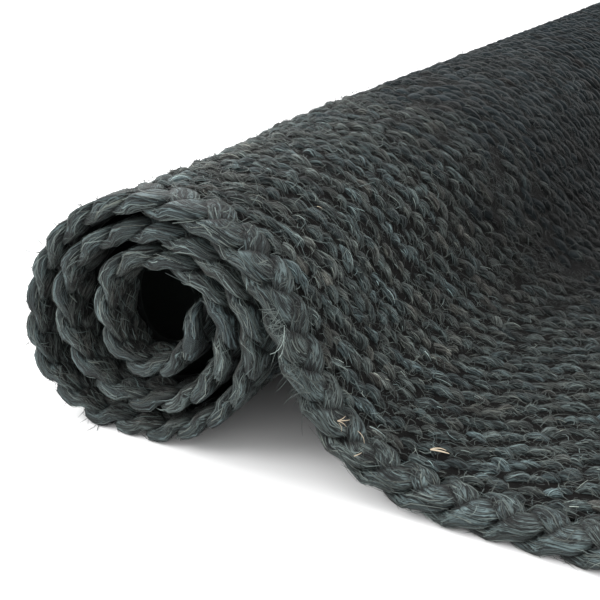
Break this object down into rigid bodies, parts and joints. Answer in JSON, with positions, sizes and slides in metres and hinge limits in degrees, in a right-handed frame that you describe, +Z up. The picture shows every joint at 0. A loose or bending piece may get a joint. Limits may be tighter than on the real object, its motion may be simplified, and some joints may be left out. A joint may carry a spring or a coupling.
{
  "type": "jute rug",
  "caption": "Dark woven jute rug with a flat plaited edge, lying flat on the floor, one short end rolled under into a loose open roll",
  "frame": {"origin": "on the floor, below the middle of the whole rug's box", "axes": "X runs along the rug from the rolled end to the flat end, Y runs along the roll, Z is up"},
  "size_m": [0.8724, 1, 0.1054],
  "materials": {
    "field_jute": "coarse plain weave of dyed charcoal jute cord, dull with silky strand highlights",
    "border_jute": "flat three-strand plait of dyed charcoal jute, silky strand highlights"
  },
  "bodies": {
    "root": {"woven_field": "field_jute", "plaited_border": "border_jute"}
  },
  "joints": []
}
